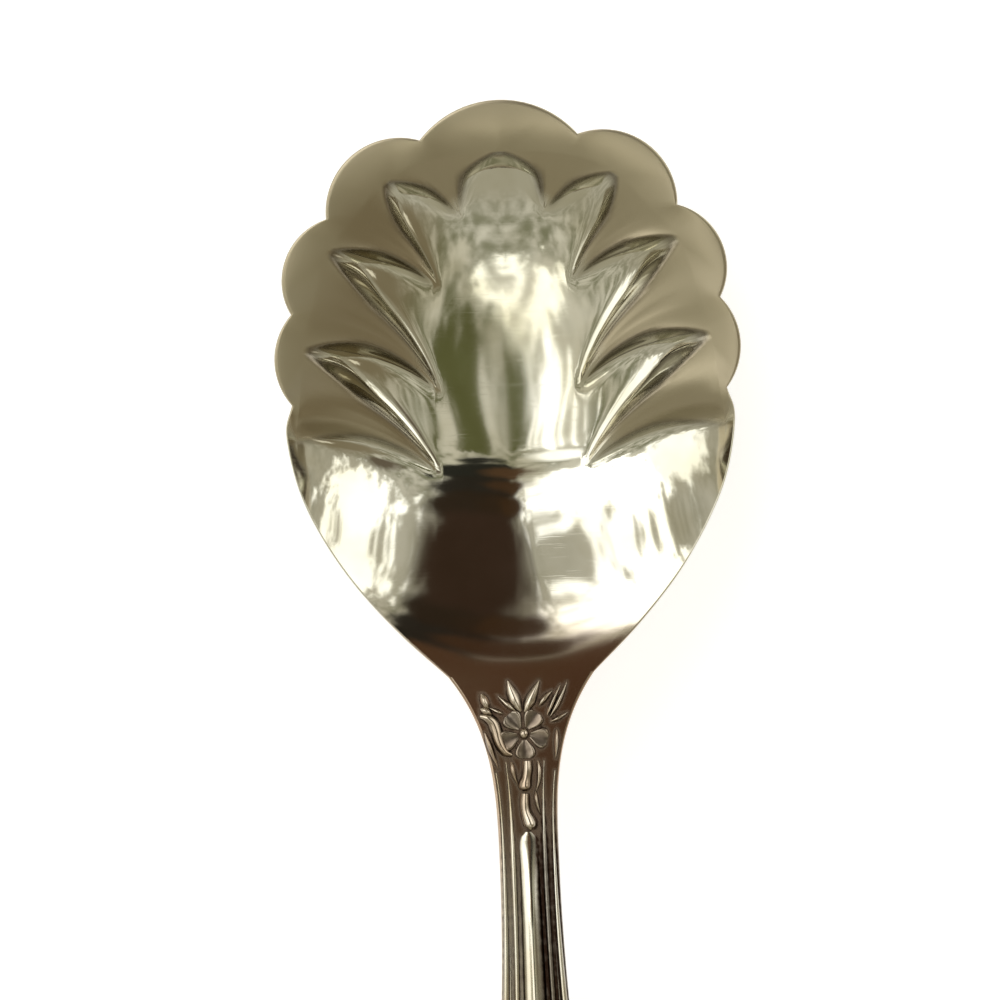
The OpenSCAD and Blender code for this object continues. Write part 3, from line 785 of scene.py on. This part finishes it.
turn = math_node(die, "MULTIPLY", copies["Duplicate Index"], step)
turned = add(die, "ShaderNodeVectorRotate", {
    "Vector": add(die, "GeometryNodeInputPosition"), "Center": size["Middle"],
    "Axis": (0, 0, 1), "Angle": turn}, rotation_type="AXIS_ANGLE")
ring = moved(die, copies["Geometry"], turned)
tangent = add(die, "GeometryNodeInputTangent")
side = add(die, "ShaderNodeVectorMath", {0: tangent, 1: (0, 0, 1)}, operation="CROSS_PRODUCT")


def kept(geometry, name, value, kind="FLOAT_VECTOR"):
    return add(die, "GeometryNodeStoreNamedAttribute", {
        "Geometry": geometry, "Name": name, "Value": value}, data_type=kind)


# %% [markdown]
# The die sweeps a section along each line, and the height of the section goes
# to nothing at its feet. The result is draped on the handle's face by casting
# rays down. Its feet sink a hair below the face, so that no gap shows, and the
# share of dark patina is 1 there and 0 on the tops.

# %% The relief die: section and drape
foot_sink = 0.02 * MM
upper_half = -0.001
route = kept(ring, "middle", add(die, "GeometryNodeInputPosition"))
route = kept(route, "side", side)
circle = add(die, "GeometryNodeCurvePrimitiveCircle", {"Resolution": size["Section steps"]})
circle = kept(circle, "round", add(die, "GeometryNodeInputPosition"))
swept = add(die, "GeometryNodeCurveToMesh", {
    "Curve": route, "Profile Curve": circle, "Fill Caps": True})
section = add(die, "ShaderNodeSeparateXYZ", {0: named(die, "round", "FLOAT_VECTOR")}, None)
across = section[0]
upper = math_node(die, "GREATER_THAN", section[1], upper_half)
far = math_node(die, "ABSOLUTE", across)
top = math_node(
    die, "SUBTRACT", 1, math_node(die, "POWER", far, size["Flat top"]), clamp=True)
dome = math_node(die, "POWER", top, size["Foot curve"])
dip = math_node(die, "MULTIPLY", size["Cupped"], math_node(
    die, "SUBTRACT", 1, math_node(die, "MULTIPLY", far, far)))
bell = math_node(die, "MULTIPLY", math_node(die, "MULTIPLY", dome, math_node(
    die, "SUBTRACT", 1, dip)), upper)
rise = math_node(
    die, "SUBTRACT", math_node(die, "MULTIPLY", bell, named(die, "height")), foot_sink)
reach = math_node(die, "MULTIPLY", across, named(die, "half_width"))
outward = add(die, "ShaderNodeVectorMath", {
    0: named(die, "side", "FLOAT_VECTOR"), "Scale": reach}, operation="SCALE")
flat = add(die, "ShaderNodeVectorMath", {
    0: named(die, "middle", "FLOAT_VECTOR"), 1: outward}, operation="ADD")
laid = moved(die, swept, flat)
ground = add(die, "GeometryNodeObjectInfo", {"Object": size["Ground"]}, "Geometry",
             transform_space="ORIGINAL")
above = add(die, "ShaderNodeVectorMath", {
    0: add(die, "GeometryNodeInputPosition"), 1: (0, 0, 1)}, operation="ADD")
hit = add(die, "GeometryNodeRaycast", {
    "Target Geometry": ground, "Source Position": above, "Ray Direction": (0, 0, -1),
    "Ray Length": 2.0}, "Hit Position")
lifted = add(die, "ShaderNodeVectorMath", {
    0: hit, 1: add(die, "ShaderNodeCombineXYZ", {2: rise})}, operation="ADD")
draped = moved(die, laid, lifted)
sunk = math_node(die, "SUBTRACT", 1, bell)
struck = kept(draped, "sunk", sunk, "FLOAT")
close_tree(die, struck, size["Finish"])


def drawn(strips):
    """Thin lines on the table: each strip is points of (across, distance, width, height)."""
    points, edges, halves, heights = [], [], [], []
    for strip in strips:
        edges += [(len(points) + i, len(points) + i + 1) for i in range(len(strip) - 1)]
        points += [(x * MM, (seam_y - d) * MM, 0) for x, d, w, h in strip]
        halves += [w / 2 * MM for x, d, w, h in strip]
        heights += [h * MM for x, d, w, h in strip]
    mesh = bpy.data.meshes.new("lines")
    mesh.from_pydata(points, edges, [])
    for name, values in (("half_width", halves), ("height", heights)):
        store(mesh, name, values)
    return mesh


# %% [markdown]
# The three forgings are joined to one plain face for the rays to hit. It is
# taken away again when all the relief is struck.

# %% One face to drape on
ground_mesh = bpy.data.meshes.new("handle_face")
work = bmesh.new()
for piece in (neck, stem, grip):
    work.from_mesh(piece.data)
work.to_mesh(ground_mesh)
work.free()
handle_face = in_scene("handle_face", ground_mesh)


def strike(name, strips, finish, **values):
    values = {label.replace("_", " ").capitalize(): value for label, value in values.items()}
    return made_by(die, drawn(strips), name, {"Ground": handle_face, "Finish": finish, **values})


# %% [markdown]
# The long work: a round rib along the middle, a fillet and a thin line on each
# side of it, and a raised border that follows the edge of the handle.

# %% Long work
flower_d, flower_pos = 3.9, 5.2
end_flower_d, end_flower_at = 5.0, handle_len - 11.5
spray_len_share = 4.3
rib_h, rib_half_share, rib_foot_share = 0.75, 0.35, 0.9
fillet_w, fillet_h, fillet_place_share, fillet_start_share = 0.55, 0.45, 0.53, 1.25
line_w, line_h, line_place_share, line_start_share = 0.3, 0.22, 0.72, 0.22
border_w, border_h, border_inset, border_pos = 0.6, 0.35, 0.12, 8.6
petal_h, drop_h = 0.5, 0.7
end_height_share, run_out_parts = 0.15, 8
rib_tip_share, rib_tip_width = 0.02, 0.3


def run_out(t):
    """Raised work starts and ends low, over the first and the last eighth of its length."""
    return mix(end_height_share, 1, ease(t * run_out_parts) * ease((1 - t) * run_out_parts))


def long_strips(start, stop, place_share, width, height, n=48):
    """One strip on the right and its mirror on the left."""
    places = [(i / n, mix(start, stop, i / n)) for i in range(n + 1)]
    return [[(side * place_share * half_width(d), d, width * run_out(t), height * run_out(t))
             for t, d in places] for side in (1, -1)]


rib_start = flower_pos + spray_len_share * flower_d / 2 + rib_h / 4
rib_end = end_flower_at - spray_len_share * end_flower_d / 2 - rib_h / 4
fillet_start = flower_pos + fillet_start_share * flower_d / 2
fillet_end = end_flower_at - fillet_start_share * end_flower_d / 2
line_start = mix(stem_pos, arch_pos, line_start_share)
rib_strip = []
for t in [0, 0.002, 0.006, 0.012] + spread(rib_tip_share, 1, 48) + [1]:
    d = mix(rib_start, rib_end, t)
    width = 2 * rib_half_share * half_width(d) * run_out(0.5 + t / 2)
    width *= mix(rib_foot_share, 1, ease(t * run_out_parts))
    tip = math.sqrt(1 - (1 - limit(t / rib_tip_share)) ** 2)
    rib_strip.append((0, d, width * mix(rib_tip_width, 1, tip), rib_h * run_out(t)))
border_inner = border_inset + border_w / 2
border_places = spread(border_pos, stem_pos, 10) + spread(stem_pos, wide_pos, 50) + end_places
border_side = []
for i, d in enumerate(border_places[:-1]):
    a, b = border_places[max(0, i - 1)], border_places[i + 1]
    along = Vector((half_width(b) - half_width(a), b - a)).normalized()
    at = Vector((half_width(d), d)) - Vector((along.y, -along.x)) * border_inner
    border_side.append(at)
border_line = [(p.x, p.y) for p in border_side] + [(0, handle_len - border_inner)] + [
    (-p.x, p.y) for p in reversed(border_side)]
last = len(border_line) - 1
border_strip = [(x, d, border_w * run_out(i / last), border_h * run_out(i / last))
                for i, (x, d) in enumerate(border_line)]

centre_rib = strike("centre_rib_bead", [rib_strip], bead_plate, point_spacing=0.4 * MM,
                    foot_curve=0.62)
side_fillets = strike("side_fillet_beads", long_strips(
    fillet_start, fillet_end, fillet_place_share, fillet_w, fillet_h), bead_plate,
    point_spacing=0.3 * MM, foot_curve=0.7, section_steps=16)
fine_lines = strike("fine_line_beads", long_strips(
    line_start, fillet_end, line_place_share, line_w, line_h), bead_plate,
    point_spacing=0.3 * MM, foot_curve=0.8, section_steps=12)
border = strike("border_bead", [border_strip], bead_plate, point_spacing=0.3 * MM,
                foot_curve=0.7, section_steps=16)

# %% [markdown]
# The sprays: a flower of five cupped petals round a boss, leaves that fan out
# towards the bowl, a rolled leaf, buds and two hanging drops. They are drawn
# once in shares of the flower's radius and used at both ends of the handle.

# %% Sprays
petal_count, petal_turn, boss_share = 5, 34, 0.24
petal_share = [
    (0.3, 0.26, 0.4), (0.42, 0.46, 0.7), (0.6, 0.76, 0.92), (0.8, 0.96, 1), (0.98, 0.9, 1),
    (1.1, 0.56, 0.7),
]
leaf_width_share = [0.3, 0.8, 1, 0.86, 0.55, 0.12]
leaf_height_share = [0.5, 0.9, 1, 0.85, 0.6, 0.25]
leaf_share = [
    ((-0.1, -1.0), (-0.46, -1.7), (-0.64, -2.4), 0.6),
    ((0.08, -0.98), (0.4, -1.55), (0.8, -2.36), 0.56),
    ((-0.34, -1.04), (-0.72, -1.32), (-1.12, -1.74), 0.28),
    ((-0.9, -0.94), (-1.2, -1.03), (-1.56, -1.26), 0.22),
    ((0.74, -1.24), (1.0, -1.58), (1.38, -1.88), 0.32),
    ((1.1, -0.8), (1.36, -1.4), (1.76, -2.12), 0.26),
    ((1.24, -0.74), (1.72, -1.42), (2.06, -2.24), 0.28),
    ((1.24, -0.5), (1.66, -0.66), (2.04, -0.88), 0.22),
    ((-1.78, -0.1), (-1.52, 0.7), (-1.22, 1.54), 0.3),
    ((1.5, -0.12), (1.48, 0.5), (1.4, 1.16), 0.24),
]
scroll_share = [
    ((-1.96, -0.86), 0.24), ((-1.66, -0.78), 0.46), ((-1.4, -0.56), 0.58), ((-1.26, -0.2), 0.6),
    ((-1.18, 0.18), 0.56), ((-1.06, 0.52), 0.52), ((-0.86, 0.8), 0.42), ((-0.58, 0.94), 0.2),
]
bud_share = [
    [((-1.86, -1.86), 0.16), ((-1.77, -1.63), 0.4), ((-1.66, -1.36), 0.4), ((-1.58, -1.2), 0.2)],
    [((-1.92, -1.2), 0.18), ((-1.76, -1.12), 0.4), ((-1.56, -1.02), 0.3), ((-1.42, -0.94), 0.14)],
]
drop_share = [
    [((0.1, 1.22), 0.46), ((0.09, 1.6), 0.52), ((0.03, 1.95), 0.52), ((-0.04, 2.22), 0.62),
     ((-0.05, 2.42), 0.58), ((-0.04, 2.55), 0.3)],
    [((-0.06, 2.68), 0.42), ((-0.09, 3.05), 0.48), ((-0.06, 3.5), 0.5), ((0.06, 3.88), 0.62),
     ((0.14, 4.12), 0.6), ((0.16, 4.28), 0.3)],
]
drop_leaf_share = [
    ((-0.62, 1.24), (-0.6, 1.72), (-0.36, 2.3), 0.26),
    ((0.58, 1.24), (0.72, 1.9), (0.44, 2.6), 0.26),
    ((0.42, 2.6), (0.4, 3.1), (0.6, 3.6), 0.2),
]


def spray(prefix, at, radius, turned):
    """The pieces of one spray. Turned is -1 where the drops hang towards the bowl."""

    def on_face(x, y):
        return x * radius, at + turned * y * radius

    def leaf(foot, middle, tip, width):
        ends = [Vector(on_face(*p)) for p in (foot, middle, tip)]
        strip = []
        for i, (w, h) in enumerate(zip(leaf_width_share, leaf_height_share)):
            t = i / (len(leaf_width_share) - 1)
            p = ends[0] * (1 - t) ** 2 + ends[1] * 2 * t * (1 - t) + ends[2] * t * t
            strip.append((p.x, p.y, w * width * radius, h * petal_h))
        return strip

    def vein(points, height):
        full = points[-2][1]
        return [(*on_face(*p), w * radius, height * limit(w / full)) for p, w in points]

    angle = math.radians(petal_turn)
    petal = [(*on_face(math.sin(angle) * r, -math.cos(angle) * r), w * radius, h * petal_h)
             for r, w, h in petal_share]
    boss = [(0, at + s * boss_share * radius, 2 * w * boss_share * radius, w * petal_h)
            for s, w in ((-1, 0.3), (-0.6, 0.8), (0, 1), (0.6, 0.8), (1, 0.3))]
    middle = (0, (seam_y - at) * MM, 0)
    fine = {"point_spacing": 0.05 * MM, "section_steps": 24}
    petals = strike(prefix + "_petals", [petal], relief_plate, copies=petal_count, middle=middle,
                    flat_top=8.0, cupped=0.75, **fine)
    bosses = strike(prefix + "_boss", [boss], relief_plate, foot_curve=0.6, **fine)
    leaves = strike(prefix + "_leaf_fan", [leaf(*l) for l in leaf_share]
                    + [vein(v, petal_h) for v in [scroll_share] + bud_share], relief_plate, **fine)
    drops = strike(prefix + "_drop_beads", [leaf(*l) for l in drop_leaf_share]
                   + [vein(v, drop_h) for v in drop_share], relief_plate, foot_curve=0.7, **fine)
    return petals, bosses, leaves, drops


neck_spray = spray("neck", flower_pos, flower_d / 2, 1)
end_spray = spray("end", end_flower_at, end_flower_d / 2, -1)
bpy.data.objects.remove(handle_face)

# %% [markdown]
# Tarnish is rubbed off wherever a thumb or a cloth reaches, and stays where it
# cannot. So the handle's ground is darkest close to the feet of the relief: each
# of its points keeps how near the next foot is, as its share of dark patina. Down
# the right side of the stem, on the ground and on the rib, fillets and lines, a
# share of painted shade is added to it, as if the light fell from the left.

# %% Dark corners of the ground, and painted shade down the stem's right side
relief_pieces = [centre_rib, side_fillets, fine_lines, border, *neck_spray, *end_spray]
feet = [v.co.copy() for piece in relief_pieces for v in piece.data.vertices]
nearest = KDTree(len(feet))
for i, point in enumerate(feet):
    nearest.insert(point, i)
nearest.balance()
corner_reach = 0.35 * MM
# Painted shade down the right of the stem: its strength, how far across it builds, where it sets in
# and where it fades
right_shade_share, right_shade_full_x = 0.65, 0.9
right_shade_start, right_shade_ease, right_shade_fade_start, right_shade_fade_ease = 9, 8, 50, 30


def painted_right_shade(v):
    """Painted shade on the right of the stem: it sets in below the neck and fades at the grip."""
    d = seam_y - v.co.y / MM
    along = ease((d - right_shade_start) / right_shade_ease) * (
        1 - ease((d - right_shade_fade_start) / right_shade_fade_ease))
    return right_shade_share * ease(v.co.x / (right_shade_full_x * MM)) * along


# Painted shade down the right side of the rib, fillets and lines
for piece in (centre_rib, side_fillets, fine_lines):
    for v, rib_patina_and_shade in zip(piece.data.vertices, piece.data.attributes["sunk"].data):
        rib_patina_and_shade.value = limit(rib_patina_and_shade.value + painted_right_shade(v))
# The ground: dark patina by the relief's feet, and painted shade down the stem's right side
for piece in (neck, stem, grip):
    ground_patina_and_shade = [limit((1 - limit(nearest.find(v.co)[2] / corner_reach)) ** 2 + painted_right_shade(v))
            for v in piece.data.vertices]
    tones = [tone_at(seam_y - v.co.y / MM) for v in piece.data.vertices]
    store(piece.data, "sunk", ground_patina_and_shade)
    store(piece.data, "toned", tones)

# %% [markdown]
# Each visual piece rides on the one body, stands for a node of the CAD part, and
# belongs to one of the record's slots.

# %% Which piece stands for which node
stands_for = [
    (bowl, "bowl", "bright_plate"), (neck, "neck", "toned_plate"), (stem, "stem", "toned_plate"),
    (grip, "handle_end", "toned_plate"), (centre_rib, "centre_rib", "bright_plate"),
    (side_fillets, "side_fillets", "bright_plate"), (fine_lines, "fine_lines", "bright_plate"),
    (border, "border", "bright_plate"),
]
for pieces, nodes in (
        (neck_spray, ("neck_flower", "neck_flower", "neck_leaves", "neck_drops")),
        (end_spray, ("end_flower", "end_flower", "end_leaves", "end_drops"))):
    stands_for += [(piece, node, "relief_plate") for piece, node in zip(pieces, nodes)]
for piece, node, slot in stands_for:
    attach(piece, "root")
    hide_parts(node)

# %% [markdown]
# Polished metal shows what stands round it, so the light is a soft studio tent
# rather than a lamp: pale cloth all round, some brighter and darker panels, and
# a dapple in the cloth that keeps large smooth metal from looking like plastic.
# The world shader lays the panels over each other by direction, in the order of
# a short list.

# %% The room
world = bpy.data.worlds.new("studio tent")
bpy.context.scene.world = world
room = emptied(world)
direction = add(room, "ShaderNodeTexCoord", give="Generated")
# Colour, strength, then in degrees: turn from +X towards +Y, angle from straight up, reach,
# and how soft and how ragged the edge is
panels = [
    # walls of the tent, on the right and beyond the handle's end
    ("#8E846C", 1.0, 335, 55, 28, 24, 10),
    ("#B4B09C", 1.0, 265, 72, 20, 16, 10),
    ("#EFEAD8", 1.2, 340, 71, 7, 6, 30),
    # bright cloths beyond the bowl's tip and on the left
    ("#FFFFF8", 1.9, 42, 66, 19, 8, 60),
    ("#FFFFFB", 2.4, 124, 46, 21, 6, 50),
    ("#FFFFFB", 2.6, 107, 50, 6, 4, 20),
    ("#FFFFFB", 2.0, 110, 61, 5, 4, 36),
    ("#F8F8F0", 1.8, 162, 58, 20, 10, 40),
    # bright folds overhead, and a green one
    ("#FFFEF2", 2.0, 248, 13, 7, 5, 50),
    ("#FFFFFB", 2.4, 180, 9, 5, 3, 40),
    ("#63653F", 1.0, 350, 8, 7, 4, 40),
    ("#FFFFFB", 1.8, 132, 14, 6, 4, 8),
    # a brown cloth on the right, and dark ones that give the heel its deep band
    ("#6E6455", 1.0, 26, 36, 8, 8, 8),
    ("#30302B", 1.0, 62, 14, 4, 3, 8),
    ("#2E2E29", 1.0, 74, 25, 9, 3, 8),
    ("#2F2B25", 1.0, 78, 38, 9, 4, 8),
    ("#33291F", 1.0, 80, 50, 9, 5, 8),
    ("#3D2E24", 1.0, 82, 62, 10, 6, 8),
    ("#5E4733", 1.0, 89, 25, 5, 4, 8),
    ("#4C3826", 1.0, 89, 36, 5, 4, 8),
    ("#42301F", 1.0, 88, 48, 5, 4, 8),
]
hanging = add(room, "ShaderNodeMapping", {
    "Vector": direction, "Location": (2.3, 4.1, 0.7), "Scale": (3, 1, 1)})
cloth = add(room, "ShaderNodeTexNoise", {
    "Vector": hanging, "Scale": 5, "Detail": 7, "Roughness": 0.66})
fold = add(room, "ShaderNodeMapRange", {
    "Value": cloth, "From Min": 0.38, "From Max": 0.64}, interpolation_type="SMOOTHSTEP")
folds = blend(room, fold, linear("#85866C"), linear("#E6E3D4"))
up = add(room, "ShaderNodeSeparateXYZ", {0: direction}, "Z")
overhead = add(room, "ShaderNodeMapRange", {
    "Value": up, "From Min": 0.55, "From Max": 0.85, "To Min": 0.3, "To Max": 1})
light = blend(room, overhead, linear("#B9B5A5"), folds)
for code, strength, turn, tilt, reach, soft, ragged in panels:
    turn, tilt = math.radians(turn), math.radians(tilt)
    aim = (math.sin(tilt) * math.cos(turn), math.sin(tilt) * math.sin(turn), math.cos(tilt))
    facing = add(room, "ShaderNodeVectorMath", {0: direction, 1: aim}, "Value",
                 operation="DOT_PRODUCT")
    angle = math_node(room, "ARCCOSINE", facing)
    wavy = math_node(room, "MULTIPLY_ADD", cloth, math.radians(ragged), angle)
    edge = reach + ragged / 2
    amount = add(room, "ShaderNodeMapRange", {
        "Value": wavy, "From Min": math.radians(edge + soft / 2),
        "From Max": math.radians(edge - soft / 2)}, interpolation_type="SMOOTHSTEP")
    glow = [c * strength for c in linear(code)[:3]] + [1]
    light = blend(room, amount, light, glow)
sky = add(room, "ShaderNodeBackground", {"Color": light, "Strength": 1.0})
add(room, "ShaderNodeOutputWorld", {"Surface": sky}, None)

# %% [markdown]
# The spoon lies on a plain white floor. Its paper is a pale grey that takes the
# spoon's soft shadow. For the camera, and in the metal's reflections, a plain
# glow is added, so that the paper shows white without more light on the spoon.

# %% Floor
floor_mesh = bpy.data.meshes.new("floor")
floor_half = 1.5
corners = [(x * floor_half, y * floor_half, 0) for x, y in ((-1, -1), (1, -1), (1, 1), (-1, 1))]
floor_mesh.from_pydata(corners, [], [(0, 1, 2, 3)])
floor = in_scene("floor", floor_mesh)
paper = bpy.data.materials.new("white paper")
sheet = emptied(paper)
rays = add(sheet, "ShaderNodeLightPath", give=None)
seen = math_node(sheet, "ADD", math_node(
    sheet, "ADD", rays["Is Camera Ray"], rays["Is Glossy Ray"]), rays["Is Transmission Ray"])
paper_glow = 0.66
glow = math_node(sheet, "MULTIPLY", seen, paper_glow)
# Matt white paper
shader = add(sheet, "ShaderNodeBsdfPrincipled", {
    "Base Color": linear("#DADADA"), "Roughness": 0.9, "Specular IOR Level": 0.1,
    "Emission Color": (1, 1, 1, 1), "Emission Strength": glow})
add(sheet, "ShaderNodeOutputMaterial", {"Surface": shader}, None)
floor_mesh.materials.append(paper)

# %% [markdown]
# The photograph looks straight down. Its picture is 1000 pixels square, the
# spoon leans by a small angle, and the bowl's outline gives the scale.

# %% Camera
sensor_mm = 36
picture_px = 1000
px_per_mm = 11.19
lean = math.radians(2.42)
camera_height = 340
focus_h = 9
middle_x, middle_y = -1.24, 40.1
camera_data = bpy.data.cameras.new("camera")
camera_data.sensor_width = sensor_mm
camera_data.lens = sensor_mm * (camera_height - focus_h) / (picture_px / px_per_mm)
camera = in_scene("camera", camera_data)
camera.location = (middle_x * MM, middle_y * MM, camera_height * MM)
camera.rotation_euler = (0, 0, -lean)
camera_data.clip_start, camera_data.clip_end = 0.01, 10
bpy.context.scene.camera = camera
bpy.context.scene.view_settings.view_transform = "Standard"
print("lens, mm:", round(camera_data.lens, 1))
